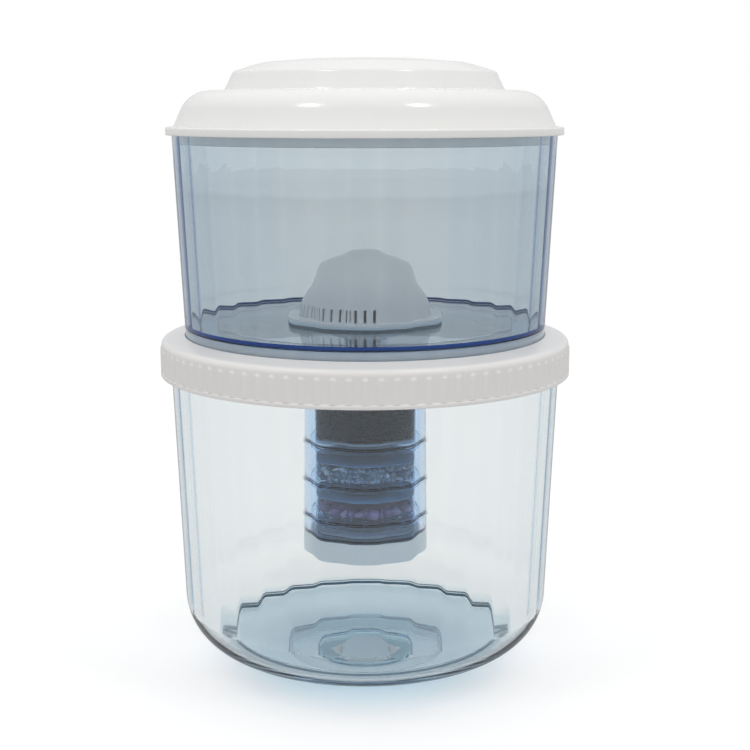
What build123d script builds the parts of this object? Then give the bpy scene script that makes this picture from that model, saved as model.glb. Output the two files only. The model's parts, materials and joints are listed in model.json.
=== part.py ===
from build123d import *

import os
from math import cos, radians, tan

# A gravity water filter: an upper tank with a ceramic dome stands in a collar on a lower tank,
# and a cartridge of stacked cups hangs from the dome's stem into the lower tank.
# Millimetres, +Z up. The origin is the centre of the foot ring, on the surface that it stands on,
# and -Y is the front. Profiles are drawn as (radius, height) and turned about Z.

# Clearances
lift_clearance = 0.3  # round pieces that lift out of one another
push_clearance = 0.2  # pieces pushed together by hand
thread_clearance = 0.1  # between a plain thread and what screws on it

# Both tanks are round outside and have flats inside, one of them square to the front
facet_count = 40
facet_fade = 0.5  # how far outside the flats' edges the rounded heel begins

# Lower tank
lower_radius = 128.0  # outside, at the collar's lower edge
lower_wall = 2.9
lower_taper = 2.3  # degrees
rim_height = 220.0
collar_overlap = 17.3  # how far the collar's side reaches below the rim
heel_radius = 38.0
floor_slope = 11.3  # degrees
lower_floor = 3.8
well_radius = 31.0
well_depth = 5.0
well_floor = 2.5
well_lift = 1.0  # clear space under the well
outlet_radius = 16.0
foot_radius = 54.0
foot_wall = 4.0

# Bayonet between the lower tank and the collar
lug_count = 6
lug_half_angle = 12.0  # degrees
lug_reach = 2.3
lug_height = 4.0
lug_drop = 5.0  # top of the tank's lugs below its rim
lug_gap = 0.5  # collar's lugs clear the tank's wall
lug_play = 0.3  # degrees, between the collar's lugs and the end stops
stop_angle = 3.0  # degrees

# Outlet valve
seal_width = 5.6
seal_thickness = 1.5
plug_radius = 19.0
plug_thickness = 3.0
plug_edge_radius = 1.0
plug_fin = 2.0
plug_fin_clearance = 0.4

# Collar
collar_gap = 0.8  # between the tank's lugs and the collar's side
collar_wall = 2.4
collar_drop = 2.9  # the side's top edge below the deck's highest ring
collar_edge_radius = 4.0
deck_width = 16.4  # from the collar's outside to the upper tank's seat
deck_thickness = 3.0
deck_opening_width = 19.6  # width of the seat that carries the upper tank
seat_depth = 1.5
seal_land = 2.0  # depth of the land that presses the rim's seal
seal_land_overhang = 2.9  # inside the lower tank's wall
rim_seal_width = 2.0
rim_seal_thickness = 2.0
rib_count = 90
rib_width = 6.0  # of the round bar that a rib's face is cut from
rib_depth = 0.8
rib_top_drop = 4.3  # below the side's top edge
lip_height = 2.5

# Upper tank
upper_height = 132.5
upper_taper = 2.64  # degrees
upper_wall = 2.8
upper_floor = 3.0
upper_floor_lift = 5.2
upper_foot_wall = 3.6
spigot_depth = 9.7
spigot_wall = 2.3

# Lid
lid_skirt = 3.2
lid_skirt_depth = 2.5
lid_skirt_clearance = 0.6
lid_flange = 2.5
lid_lip = 5.0  # flange outside the lower tier
lid_wall = 2.2
lid_plug_depth = 8.0
lid_plug_wall = 2.0
lid_plug_clearance = 0.4
lower_tier_lean = 10.3
lower_tier_height = 22.3
lower_tier_rise = 0.9
lower_tier_fillet = 20.0
tier_fillet = 1.5
upper_tier_radius = 90.0
upper_tier_lean = 5.6
upper_tier_height = 11.6
upper_tier_fillet = 4.0
crown_edge_radius = 66.0
crown_edge_rise = 5.6
crown_edge_fillet = 40.0
crown_flat_radius = 35.0
crown_rise = 2.4
crown_fillet = 200.0

# Prefilter: dome_base, ceramic_dome and dome_cover
stem_radius = 12.0
stem_bore_radius = 7.0
stem_end_cover = 2.5  # the cartridge's gasket below the stem's end
base_radius = 51.0
base_thickness = 1.7
floor_gasket_thickness = 1.3
floor_gasket_width = 16.0
dome_radius = 42.5
dome_lift = 2.0  # straight stretch below the half sphere
dome_wall = 1.6
cover_flange_radius = 49.5
cover_flange_thickness = 1.5
cover_ring_height = 2.0
cover_ring_wall = 1.2
slot_height = 8.0
slot_width = 1.3
slot_pitch = 6.0  # degrees
slots_in_group = 17
slot_depth = 12.0  # of the cutter, through the cover's wall
slot_group_turns = (-132.0, 48.0)  # degrees from +X, the two groups' middles
ceramic_radius = 37.5
ceramic_lift = 0.5
ceramic_wall = 6.0
ceramic_seat_height = 2.0

# Clamp under the upper tank's floor
nut_gasket_thickness = 2.0
nut_gasket_width = 8.0
nut_height = 8.0
nut_across_flats = 38.0
nut_chamfer = 1.0
nut_gap = 1.2  # between the nut and the cartridge's neck

# Cartridge
thread_pitch = 3.0
thread_turns = 3
neck_wall = 4.9
cap_shoulder_radius = 17.0
cap_edge_height = 2.5
cap_cone_rise = 5.0
cap_wall = 2.3
socket_floor = 2.2
cap_joint_drop = 3.5  # below the socket's floor
cup_radius = 42.5
cup_wall = 2.2
cup_floor = 1.5
cup_spigot_depth = 3.0
cup_spigot_wall = 1.8
basket_inside = 33.2  # inner wall that holds the filling off the clear shell
basket_wall = 1.2
basket_gap = 0.5  # under the spigot above
joint_band = 0.5
joint_band_height = 1.2
pad_thickness = 1.5
carbon_cup_height = 50.3
silica_cup_height = 26.1
silica_fill = 12.5
mineral_cup_height = 24.3
mineral_fill = 12.7
outlet_cup_height = 11.8
outlet_base_height = 13.8
sieve_hole_radius = 1.2
sieve_ring_count = 3
sieve_ring_pitch = 10.0
sieve_inner_holes = 8  # in the inmost ring, and this many more in each ring outside it

# Lower tank, worked out
collar_edge_height = rim_height - collar_overlap
half_facet = 180.0 / facet_count
front_turn = 270.0  # degrees from +X to the front
front_facet_turn = (front_turn - half_facet) % (2 * half_facet)
well_floor_z = well_lift + well_floor
funnel_z = well_floor_z + well_depth
well_outside = well_radius + well_floor
lower_inside = lower_radius - lower_wall


def lean(angle, height):
    """How far a wall that leans by angle moves out over height."""
    return height * tan(radians(angle))


def lower_wall_radius(z):
    """Outside radius of the lower tank's wall at height z."""
    return lower_radius + lean(lower_taper, z - collar_edge_height)


def lower_floor_z(radius):
    """Height of the funnel floor's upper face at a radius."""
    return funnel_z + lean(floor_slope, radius - well_radius)


def wall_meets_floor(radius_at_edge, drop):
    """(radius, height) where a leaning wall line crosses the floor line lowered by drop."""
    rise, run = tan(radians(floor_slope)), tan(radians(lower_taper))
    floor_on_axis = lower_floor_z(0) - drop
    radius = (radius_at_edge + run * (floor_on_axis - collar_edge_height)) / (1 - rise * run)
    return radius, floor_on_axis + rise * radius


def under_floor_z(radius):
    """Height of the funnel floor's underside at a radius."""
    return lower_floor_z(radius) - lower_floor


rim_radius = lower_wall_radius(rim_height)
lug_top = rim_height - lug_drop
lug_radius = rim_radius + lug_reach
facet_corner_radius = lower_inside / cos(radians(half_facet)) + facet_fade

# Collar, worked out
collar_inside = lug_radius + collar_gap
rib_root_radius = collar_inside + collar_wall
collar_radius = rib_root_radius + rib_depth
deck_under_z = rim_height + rim_seal_thickness + seal_land
seat_z = deck_under_z + deck_thickness
deck_z = seat_z + seat_depth
side_top_z = deck_z - collar_drop
seat_radius = collar_radius - deck_width
deck_opening = seat_radius - deck_opening_width
collar_lug_top = lug_top - lug_height - lift_clearance
collar_lug_tip = rim_radius + lug_gap
collar_lug_root = collar_inside + collar_wall / 2  # buried in the collar's side
land_radius = rim_radius - lower_wall - seal_land_overhang

# Upper tank, worked out
upper_foot_radius = seat_radius - lift_clearance
upper_floor_under = seat_z + upper_floor_lift
upper_floor_top = upper_floor_under + upper_floor
upper_rim_z = seat_z + upper_height
upper_rim_radius = upper_foot_radius + lean(upper_taper, upper_height)
spigot_radius = deck_opening - lift_clearance
stem_hole = stem_radius + lift_clearance

# Lid, worked out
lid_under = upper_rim_z
lid_flange_top = lid_under + lid_flange
lid_skirt_inside = upper_rim_radius + lid_skirt_clearance
lid_radius = lid_skirt_inside + lid_skirt
lid_plug_radius = upper_rim_radius - lean(upper_taper, lid_plug_depth) - upper_wall - lid_plug_clearance
tier_z = lid_flange_top + lower_tier_height + lower_tier_rise
crown_z = tier_z + upper_tier_height + crown_edge_rise + crown_rise

# Prefilter, worked out
base_under = upper_floor_top + floor_gasket_thickness
base_top = base_under + base_thickness
cover_inside = dome_radius - dome_wall
cover_ring_radius = cover_inside - lift_clearance
ceramic_inside = ceramic_radius - ceramic_wall

# Clamp and cartridge, worked out
nut_top = upper_floor_under - nut_gasket_thickness
nut_under = nut_top - nut_height
neck_top = nut_under - nut_gap
stem_end = neck_top - thread_pitch * thread_turns
socket_z = stem_end - stem_end_cover
cap_under = socket_z - socket_floor
neck_inside = stem_radius + thread_clearance
neck_radius = neck_inside + neck_wall
cap_joint = socket_z - cap_joint_drop
cup_inside = cup_radius - cup_wall
cup_spigot_radius = cup_inside - push_clearance
cup_spigot_inside = cup_spigot_radius - cup_spigot_wall
carbon_joint = cap_joint - carbon_cup_height
silica_joint = carbon_joint - silica_cup_height
mineral_joint = silica_joint - mineral_cup_height
outlet_joint = mineral_joint - outlet_cup_height
cartridge_under = outlet_joint - outlet_base_height


def save(builder, name):
    """Labels a finished piece and writes it as parts/name.step."""
    builder.part.label = name
    export_step(builder.part, f"parts/{name}.step")


def ring(inner, outer, z, height):
    """A plain ring or pad between two radii, standing on height z."""
    with BuildPart() as piece:
        with BuildSketch(Plane.XY.offset(z)):
            Circle(outer)
            if inner > 0:
                Circle(inner, mode=Mode.SUBTRACT)
        extrude(amount=height)
    return piece


def sieve():
    """The holes of a cup's floor, cut from the sketch that is being drawn."""
    for number in range(1, sieve_ring_count + 1):
        with PolarLocations(number * sieve_ring_pitch, number * sieve_inner_holes):
            Circle(sieve_hole_radius, mode=Mode.SUBTRACT)


def cup(joint, height, floor=cup_floor):
    """A cartridge stage: a shell and a basket on a sieve floor, with a spigot for the stage below."""
    with BuildPart() as piece:
        with BuildSketch(Plane.XY.offset(joint)):
            Circle(cup_radius)
            Circle(cup_inside, mode=Mode.SUBTRACT)
        extrude(amount=height)
        with BuildSketch(Plane.XY.offset(joint)):
            Circle(cup_inside)
            sieve()
        extrude(amount=floor)
        with BuildSketch(Plane.XY.offset(joint)):
            Circle(cup_spigot_radius)
            Circle(cup_spigot_inside, mode=Mode.SUBTRACT)
        extrude(amount=-cup_spigot_depth)
        with BuildSketch(Plane.XY.offset(joint + height - joint_band_height)):
            Circle(cup_radius + joint_band)
            Circle(cup_inside, mode=Mode.SUBTRACT)
        extrude(amount=joint_band_height)
        with BuildSketch(Plane.XY.offset(joint)):
            Circle(basket_inside + basket_wall)
            Circle(basket_inside, mode=Mode.SUBTRACT)
        extrude(amount=height - cup_spigot_depth - basket_gap)
    return piece


def lug_wedges(half_angle, turn, inner, outer):
    """Ring sectors of the bayonet, one per lug, drawn in the sketch that is open."""
    far = 2 * outer
    with PolarLocations(0, lug_count, start_angle=turn):
        Polygon((0, 0), (far, -lean(half_angle, far)), (far, lean(half_angle, far)), align=None)
    Circle(outer, mode=Mode.INTERSECT)
    Circle(inner, mode=Mode.SUBTRACT)


os.makedirs("parts", exist_ok=True)

# The space inside the lower tank: flats that fade into a round heel over a funnel floor
with BuildPart() as lower_space:
    for z in (0, rim_height + lower_wall):
        with BuildSketch(Plane.XY.offset(z)):
            RegularPolygon(
                lower_inside + lean(lower_taper, z - collar_edge_height),
                facet_count,
                major_radius=False,
                rotation=front_facet_turn,
            )
    loft(ruled=True)
    with BuildSketch(Plane.XZ):
        with BuildLine():
            heel = wall_meets_floor(facet_corner_radius, 0)
            open_top = rim_height + lower_wall
            top_radius = facet_corner_radius + lean(lower_taper, open_top - collar_edge_height)
            FilletPolyline(
                (well_radius, funnel_z), heel, (top_radius, open_top), radius=heel_radius - lower_wall
            )
            Polyline(
                (top_radius, open_top),
                (0, open_top),
                (0, well_floor_z),
                (well_radius, well_floor_z),
                (well_radius, funnel_z),
            )
        make_face()
    revolve(axis=Axis.Z, mode=Mode.INTERSECT)

# Lower tank
with BuildPart() as lower_tank:
    with BuildSketch(Plane.XZ):
        with BuildLine():
            foot_inside = foot_radius - foot_wall
            FilletPolyline(
                (foot_radius, under_floor_z(foot_radius)),
                wall_meets_floor(lower_radius, lower_floor),
                (rim_radius, rim_height),
                radius=heel_radius,
            )
            Polyline(
                (rim_radius, rim_height),
                (outlet_radius, rim_height),
                (outlet_radius, well_lift),
                (well_outside, well_lift),
                (well_outside, under_floor_z(well_outside)),
                (foot_inside, under_floor_z(foot_inside)),
                (foot_inside, 0),
                (foot_radius, 0),
                (foot_radius, under_floor_z(foot_radius)),
            )
        make_face()
    revolve(axis=Axis.Z)
    # Bayonet lugs, each with an end stop that reaches down beside the collar's lug
    with BuildSketch(Plane.XY.offset(lug_top)):
        lug_wedges(lug_half_angle, 0, lower_inside, lug_radius)
    extrude(amount=-lug_height)
    with BuildSketch(Plane.XY.offset(lug_top)):
        lug_wedges(stop_angle / 2, -lug_half_angle - stop_angle / 2, lower_inside, lug_radius)
    extrude(amount=-2 * lug_height - lift_clearance)
    add(lower_space.part, mode=Mode.SUBTRACT)
save(lower_tank, "lower_tank")

# Outlet: a soft ring round the hole, and a plug whose fins guide it in the hole
seal_inside = outlet_radius + plug_fin_clearance
outlet_seal = ring(seal_inside, seal_inside + seal_width, well_floor_z, seal_thickness)
save(outlet_seal, "outlet_seal")

plug_z = well_floor_z + seal_thickness
with BuildPart() as outlet_plug:
    with BuildSketch(Plane.XY.offset(plug_z)):
        Circle(plug_radius)
    extrude(amount=plug_thickness)
    fillet(outlet_plug.edges().group_by(Axis.Z)[-1], plug_edge_radius)
    with BuildSketch(Plane.XY.offset(plug_z)):
        fin_length = 2 * (outlet_radius - plug_fin_clearance)
        with PolarLocations(0, 2, angular_range=180):
            Rectangle(fin_length, plug_fin)
        Circle(fin_length / 2, mode=Mode.INTERSECT)
    extrude(amount=well_lift - plug_z)
save(outlet_plug, "outlet_plug")

# Collar and the seal that it presses on the lower tank's rim
rim_seal_middle = rim_radius - lower_wall / 2
collar_seal = ring(
    rim_seal_middle - rim_seal_width / 2,
    rim_seal_middle + rim_seal_width / 2,
    rim_height,
    rim_seal_thickness,
)
save(collar_seal, "collar_seal")

land_z = deck_under_z - seal_land
lip_top = collar_edge_height + lip_height
with BuildPart() as collar:
    with BuildSketch(Plane.XZ):
        with BuildLine():
            FilletPolyline(
                (rib_root_radius, lip_top),
                (rib_root_radius, side_top_z),
                (seat_radius, deck_z),
                radius=collar_edge_radius,
            )
            Polyline(
                (seat_radius, deck_z),
                (seat_radius, seat_z),
                (deck_opening, seat_z),
                (deck_opening, deck_under_z),
                (land_radius, deck_under_z),
                (land_radius, land_z),
                (collar_inside, land_z),
                (collar_inside, collar_edge_height),
                (collar_radius, collar_edge_height),
                (collar_radius, lip_top),
                (rib_root_radius, lip_top),
            )
        make_face()
    revolve(axis=Axis.Z)
    with BuildSketch(Plane.XY.offset(collar_lug_top)):
        lug_wedges(lug_half_angle - lug_play, 0, collar_lug_tip, collar_lug_root)
    extrude(amount=-lug_height)
    with BuildSketch(Plane.XY.offset(lip_top)):
        Circle(rib_root_radius)
        with PolarLocations(collar_radius - rib_width / 2, rib_count):
            Circle(rib_width / 2)
        Circle(collar_inside, mode=Mode.SUBTRACT)
    extrude(amount=side_top_z - rib_top_drop - lip_top)
save(collar, "collar")

# Upper tank: flats inside, a foot ring on the collar's seat, a spigot in the collar's opening
with BuildPart() as upper_tank:
    with BuildSketch(Plane.XZ):
        with BuildLine():
            Polyline(
                (stem_hole, upper_floor_under),
                (spigot_radius - spigot_wall, upper_floor_under),
                (spigot_radius - spigot_wall, upper_floor_under - spigot_depth),
                (spigot_radius, upper_floor_under - spigot_depth),
                (spigot_radius, upper_floor_under),
                (upper_foot_radius - upper_foot_wall, upper_floor_under),
                (upper_foot_radius - upper_foot_wall, seat_z),
                (upper_foot_radius, seat_z),
                (upper_rim_radius, upper_rim_z),
                (stem_hole, upper_rim_z),
                close=True,
            )
        make_face()
    revolve(axis=Axis.Z)
    for z in (upper_floor_top, upper_rim_z):
        with BuildSketch(Plane.XY.offset(z)):
            RegularPolygon(
                upper_foot_radius - upper_wall + lean(upper_taper, z - seat_z),
                facet_count,
                major_radius=False,
                rotation=front_facet_turn,
            )
    loft(ruled=True, mode=Mode.SUBTRACT)
save(upper_tank, "upper_tank")

# Prefilter base: flange, rings that centre the cover and the ceramic, and the hollow stem
floor_gasket = ring(stem_hole, stem_hole + floor_gasket_width, upper_floor_top, floor_gasket_thickness)
save(floor_gasket, "floor_gasket")

with BuildPart() as dome_base:
    with BuildSketch(Plane.XY.offset(base_under)):
        Circle(base_radius)
    extrude(amount=base_thickness)
    with BuildSketch(Plane.XY.offset(base_top)):
        Circle(cover_ring_radius)
        Circle(cover_ring_radius - cover_ring_wall, mode=Mode.SUBTRACT)
    extrude(amount=cover_ring_height)
    with BuildSketch(Plane.XY.offset(base_top)):
        Circle(ceramic_inside - push_clearance)
    extrude(amount=ceramic_seat_height)
    with BuildSketch(Plane.XY.offset(base_under)):
        Circle(stem_radius)
    extrude(amount=stem_end - base_under)
    with BuildSketch(Plane.XY.offset(stem_end)):
        Circle(stem_bore_radius)
    extrude(amount=base_top + ceramic_seat_height - stem_end, mode=Mode.SUBTRACT)
save(dome_base, "dome_base")


def dome(radius, lift, wall):
    """A hollow half sphere on a short straight stretch, standing on the base's flange."""
    middle_z = base_top + lift
    inside = radius - wall
    with BuildPart() as piece:
        with BuildSketch(Plane.XZ):
            with BuildLine():
                Line((radius, base_top), (radius, middle_z))
                CenterArc((0, middle_z), radius, 0, 90)
                Line((0, middle_z + radius), (0, middle_z + inside))
                CenterArc((0, middle_z), inside, 0, 90)
                Line((inside, middle_z), (inside, base_top))
                Line((inside, base_top), (radius, base_top))
            make_face()
        revolve(axis=Axis.Z)
    return piece


ceramic_dome = dome(ceramic_radius, ceramic_lift, ceramic_wall)
save(ceramic_dome, "ceramic_dome")

dome_shell = dome(dome_radius, dome_lift, dome_wall)
slot_middle_z = base_top + cover_flange_thickness + slot_height / 2
slot_span = slot_pitch * (slots_in_group - 1)
with BuildPart() as dome_cover:
    add(dome_shell.part)
    with BuildSketch(Plane.XY.offset(base_top)):
        Circle(cover_flange_radius)
        Circle(cover_inside, mode=Mode.SUBTRACT)
    extrude(amount=cover_flange_thickness)
    for turn in slot_group_turns:
        first = turn - slot_span / 2
        with Locations((0, 0, slot_middle_z)):
            with PolarLocations(dome_radius, slots_in_group, first, slot_span, endpoint=True):
                Box(slot_depth, slot_width, slot_height, mode=Mode.SUBTRACT)
save(dome_cover, "dome_cover")

# Clamp: soft ring and six-sided nut under the floor
nut_gasket = ring(stem_hole, stem_hole + nut_gasket_width, nut_top, nut_gasket_thickness)
save(nut_gasket, "nut_gasket")

with BuildPart() as clamp_nut:
    with BuildSketch(Plane.XY.offset(nut_under)):
        RegularPolygon(nut_across_flats / 2, 6, major_radius=False)
    extrude(amount=nut_height)
    chamfer(clamp_nut.faces().sort_by(Axis.Z)[0].edges(), nut_chamfer)
    with BuildSketch(Plane.XY.offset(nut_under)):
        Circle(neck_inside)
    extrude(amount=nut_height, mode=Mode.SUBTRACT)
save(clamp_nut, "clamp_nut")

# Lid: a two-tiered shell on a flange, with a skirt outside the rim and a plug ring inside it
lid_shell_radius = lid_radius - lid_lip
upper_tier_top_z = tier_z + upper_tier_height
lid_outline = (
    (lid_shell_radius, lid_flange_top),
    (lid_shell_radius - lower_tier_lean, lid_flange_top + lower_tier_height),
    (upper_tier_radius, tier_z),
    (upper_tier_radius - upper_tier_lean, upper_tier_top_z),
    (crown_edge_radius, upper_tier_top_z + crown_edge_rise),
    (crown_flat_radius, crown_z),
    (0, crown_z),
)
lid_fillets = (lower_tier_fillet, tier_fillet, upper_tier_fillet, crown_edge_fillet, crown_fillet)
with BuildPart() as lid:
    with BuildSketch(Plane.XZ):
        with BuildLine():
            shell_line = FilletPolyline(*lid_outline, radius=lid_fillets)
            offset(shell_line, amount=lid_wall, side=Side.LEFT)
        make_face()
    revolve(axis=Axis.Z)
    with BuildSketch(Plane.XZ):
        with BuildLine():
            plug_inside = lid_plug_radius - lid_plug_wall
            Polyline(
                (plug_inside, lid_flange_top),
                (plug_inside, lid_under - lid_plug_depth),
                (lid_plug_radius, lid_under - lid_plug_depth),
                (lid_plug_radius, lid_under),
                (lid_skirt_inside, lid_under),
                (lid_skirt_inside, lid_under - lid_skirt_depth),
                (lid_radius, lid_under - lid_skirt_depth),
                (lid_radius, lid_flange_top),
                close=True,
            )
        make_face()
    revolve(axis=Axis.Z)
save(lid, "lid")

# Cartridge, from its neck down
cartridge_gasket = ring(stem_bore_radius, stem_radius - push_clearance, socket_z, stem_end_cover)
save(cartridge_gasket, "cartridge_gasket")

cap_edge_z = cap_joint + cap_edge_height
cap_cone_z = cap_edge_z + cap_cone_rise
cap_slope = cap_cone_rise / (cup_radius - cap_shoulder_radius)
with BuildPart() as cartridge_cap:
    with BuildSketch(Plane.XZ):
        with BuildLine():
            boss_radius = neck_inside + cap_wall
            Polyline(
                (stem_bore_radius, cap_under),
                (stem_bore_radius, socket_z),
                (neck_inside, socket_z),
                (neck_inside, neck_top),
                (neck_radius, neck_top),
                (neck_radius, cap_cone_z),
                (cup_radius, cap_edge_z),
                (cup_radius, cap_joint),
                (cup_spigot_radius, cap_joint),
                (cup_spigot_radius, cap_joint - cup_spigot_depth),
                (cup_spigot_inside, cap_joint - cup_spigot_depth),
                (cup_spigot_inside, cap_edge_z + cap_slope * (cup_radius - cup_spigot_inside) - cap_wall),
                (boss_radius, cap_edge_z + cap_slope * (cup_radius - boss_radius) - cap_wall),
                (boss_radius, cap_under),
                close=True,
            )
        make_face()
    revolve(axis=Axis.Z)
save(cartridge_cap, "cartridge_cap")

carbon_cup = cup(carbon_joint, carbon_cup_height)
save(carbon_cup, "carbon_cup")
silica_cup = cup(silica_joint, silica_cup_height)
save(silica_cup, "silica_cup")
mineral_cup = cup(mineral_joint, mineral_cup_height)
save(mineral_cup, "mineral_cup")
outlet_cup = cup(outlet_joint, outlet_cup_height)
save(outlet_cup, "outlet_cup")

# Outlet base: an open foot whose sieve floor lets the filtered water run out
with BuildPart() as outlet_base:
    with BuildSketch(Plane.XY.offset(cartridge_under)):
        Circle(cup_radius)
        Circle(cup_inside, mode=Mode.SUBTRACT)
    extrude(amount=outlet_base_height)
    with BuildSketch(Plane.XY.offset(cartridge_under)):
        Circle(cup_inside)
        sieve()
    extrude(amount=cup_floor)
save(outlet_base, "outlet_base")

# Pads and fillings
media_radius = basket_inside - push_clearance
cap_pad_z = cap_joint - cup_spigot_depth - pad_thickness
cap_pad = ring(0, media_radius, cap_pad_z, pad_thickness)
save(cap_pad, "cap_pad")
carbon_pad_z = carbon_joint + cup_floor
carbon_pad = ring(0, media_radius, carbon_pad_z, pad_thickness)
save(carbon_pad, "carbon_pad")
carbon_bed_z = carbon_pad_z + pad_thickness
carbon_bed = ring(0, media_radius, carbon_bed_z, cap_pad_z - carbon_bed_z)
save(carbon_bed, "carbon_bed")
silica_bed = ring(0, media_radius, silica_joint + cup_floor, silica_fill)
save(silica_bed, "silica_bed")
mineral_bed = ring(0, media_radius, mineral_joint + cup_floor, mineral_fill)
save(mineral_bed, "mineral_bed")
outlet_pad = ring(0, media_radius, outlet_joint + cup_floor, pad_thickness)
save(outlet_pad, "outlet_pad")
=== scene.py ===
# %% [markdown]
# # A gravity water filter in Blender
#
# The filter is two stacked tanks. Water is poured into the blue upper tank, seeps through a ceramic
# dome, runs down a hollow stem into a cartridge of carbon, crystals and stones, and drips into the
# clear lower tank. The construction comes in as a fixed frame of closed solids. This notebook gives
# each of them its surface: clear plastics that bend light as the real tanks do, glossy white
# mouldings, and loose grains in place of the plain discs that stand for them.

# %% The frame
import json
from math import atan, cos, pi, radians, sin, sqrt, tan

import bmesh
import bpy
import numpy as np
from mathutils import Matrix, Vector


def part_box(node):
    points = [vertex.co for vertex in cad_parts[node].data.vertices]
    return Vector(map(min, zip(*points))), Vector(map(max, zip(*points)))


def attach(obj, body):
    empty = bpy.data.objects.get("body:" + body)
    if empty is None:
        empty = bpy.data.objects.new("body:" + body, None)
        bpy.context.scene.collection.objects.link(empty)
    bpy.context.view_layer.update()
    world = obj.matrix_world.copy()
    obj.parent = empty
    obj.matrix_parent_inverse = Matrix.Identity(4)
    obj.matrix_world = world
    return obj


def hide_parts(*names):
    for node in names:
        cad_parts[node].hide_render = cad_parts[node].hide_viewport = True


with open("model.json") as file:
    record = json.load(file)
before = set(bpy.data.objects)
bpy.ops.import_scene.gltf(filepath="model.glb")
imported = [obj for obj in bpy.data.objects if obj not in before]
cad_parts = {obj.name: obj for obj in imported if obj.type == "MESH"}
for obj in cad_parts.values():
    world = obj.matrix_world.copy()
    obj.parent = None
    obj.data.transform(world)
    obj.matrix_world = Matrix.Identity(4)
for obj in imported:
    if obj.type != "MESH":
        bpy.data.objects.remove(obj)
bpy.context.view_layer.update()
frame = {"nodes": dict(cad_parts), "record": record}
nodes = frame["nodes"]

# %% [markdown]
# ## Measures
#
# Everything is in metres, in the frame's own coordinates: Z up, the front towards -Y, the axis of the
# tanks at X = Y = 0. Lengths are easier to read in millimetres, so they are written as numbers times
# `mm`. Where a piece of the frame already has the size, it is read from that piece's box.

# %% Measures from the frame
mm = 0.001


def radius_of(node):
    """Outer radius of a round node that stands on the axis."""
    low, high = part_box(node)
    return high.x


def bottom_of(node):
    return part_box(node)[0].z


def top_of(node):
    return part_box(node)[1].z


for node in ("lower_tank", "collar", "upper_tank", "lid", "dome_cover", "carbon_cup"):
    sizes = radius_of(node), bottom_of(node), top_of(node)
    print(node, "radius, bottom and top in mm:", [round(size / mm, 1) for size in sizes])

# %% [markdown]
# ## Lines with round corners
#
# A moulded part has no truly sharp corner, and the small radii are what catch the light. So each
# profile is a short list of corners, and each corner gets a radius. The arc at a corner touches both
# of its lines at radius / tan(half the angle between them), and its centre lies on the corner's
# bisector at radius / sin(half that angle). Its points are the two touching points turned into one
# another at a steady rate. Bevel modifiers could do the same on the finished mesh, but a profile that
# is round from the start keeps the grid even, which glass needs.
#
# Smooth shading blends the slope of a corner into the faces beside it. On a tall wall that would turn
# one long face into a weak prism, and clear plastic would shift all that is seen through it. So a long
# straight stretch gets a guard point close to each end, and between the two the wall is truly flat.

# %% A profile from corners and radii
ARC_STEP = radians(7)
GUARD = 0.8 * mm
SMALL_RADIUS = 1.25  # in millimetres, as the corners are


def corner_arc(before, corner, after, radius, step=ARC_STEP):
    """Points of the arc that rounds one corner. radius 0 gives the corner itself."""
    if radius <= 0:
        return corner[None]
    back = (before - corner) / np.linalg.norm(before - corner)
    ahead = (after - corner) / np.linalg.norm(after - corner)
    half = np.arccos(np.clip(back @ ahead, -1, 1)) / 2
    centre = corner + (back + ahead) / np.linalg.norm(back + ahead) * radius / sin(half)
    turn = pi - 2 * half
    first = corner + back * radius / tan(half) - centre
    last = corner + ahead * radius / tan(half) - centre
    share = np.linspace(0, 1, max(2, int(turn / step) + 2))[:, None]
    return centre + (np.sin((1 - share) * turn) * first + np.sin(share * turn) * last) / sin(turn)


def guard_points(start, end):
    """A point at GUARD from each end of a straight stretch, or none where the stretch is short."""
    run = np.linalg.norm(end - start)
    if run < 4 * GUARD:
        return np.empty((0, 2))
    return start + (end - start) * np.array([[GUARD / run], [1 - GUARD / run]])


def rounded(corners, closed=True, step=ARC_STEP, small_step=None):
    """A profile as an array of (radius, height), from (radius, height, corner radius) in millimetres.
    An arc has a point each step, and one up to SMALL_RADIUS each small_step, which saves faces."""
    table = np.array(corners, float) * mm
    points = table[:, :2]
    count = len(points)
    parts = []
    for i in range(count):
        if not closed and i in (0, count - 1):
            parts.append(points[i][None])
        else:
            small = small_step and corners[i][2] <= SMALL_RADIUS
            parts.append(corner_arc(points[i - 1], points[i], points[(i + 1) % count], table[i, 2],
                                    small_step if small else step))
    line = [parts[0]]
    for part in parts[1:]:
        line += [guard_points(line[-1][-1], part[0]), part]
    if closed:
        line.append(guard_points(line[-1][-1], parts[0][0]))
    return np.concatenate(line)


# %% [markdown]
# ## Surfaces from a grid
#
# Nearly every piece here is a profile carried round the axis, sometimes with something added on the
# way round: flats, ribs or lugs. Such a surface is a function of two parameters, the place along the
# profile and the angle, worked out for the whole grid at once. Blender's Screw modifier could turn a
# plain profile, but it can't change the profile as it goes round.

# %% Grid to mesh
def grid_mesh(name, points, ring=True, loop=True):
    """Quads between neighbours of points[row, column]. ring joins the last column to the first, and
    loop the last row to the first. Points that fall together, as on the axis, become one."""
    rows, columns = points.shape[:2]
    numbers = np.arange(rows * columns).reshape(rows, columns)
    if ring:
        numbers = np.concatenate([numbers, numbers[:, :1]], axis=1)
    if loop:
        numbers = np.concatenate([numbers, numbers[:1]], axis=0)
    quads = np.stack([numbers[:-1, :-1], numbers[:-1, 1:], numbers[1:, 1:], numbers[1:, :-1]], axis=-1)
    mesh = bpy.data.meshes.new(name)
    mesh.from_pydata(points.reshape(-1, 3).tolist(), [], quads.reshape(-1, 4).tolist())
    work = bmesh.new()
    work.from_mesh(mesh)
    bmesh.ops.remove_doubles(work, verts=work.verts, dist=1e-7)
    bmesh.ops.dissolve_degenerate(work, edges=work.edges, dist=1e-7)
    bmesh.ops.recalc_face_normals(work, faces=work.faces)
    work.to_mesh(mesh)
    work.free()
    return mesh


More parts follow.
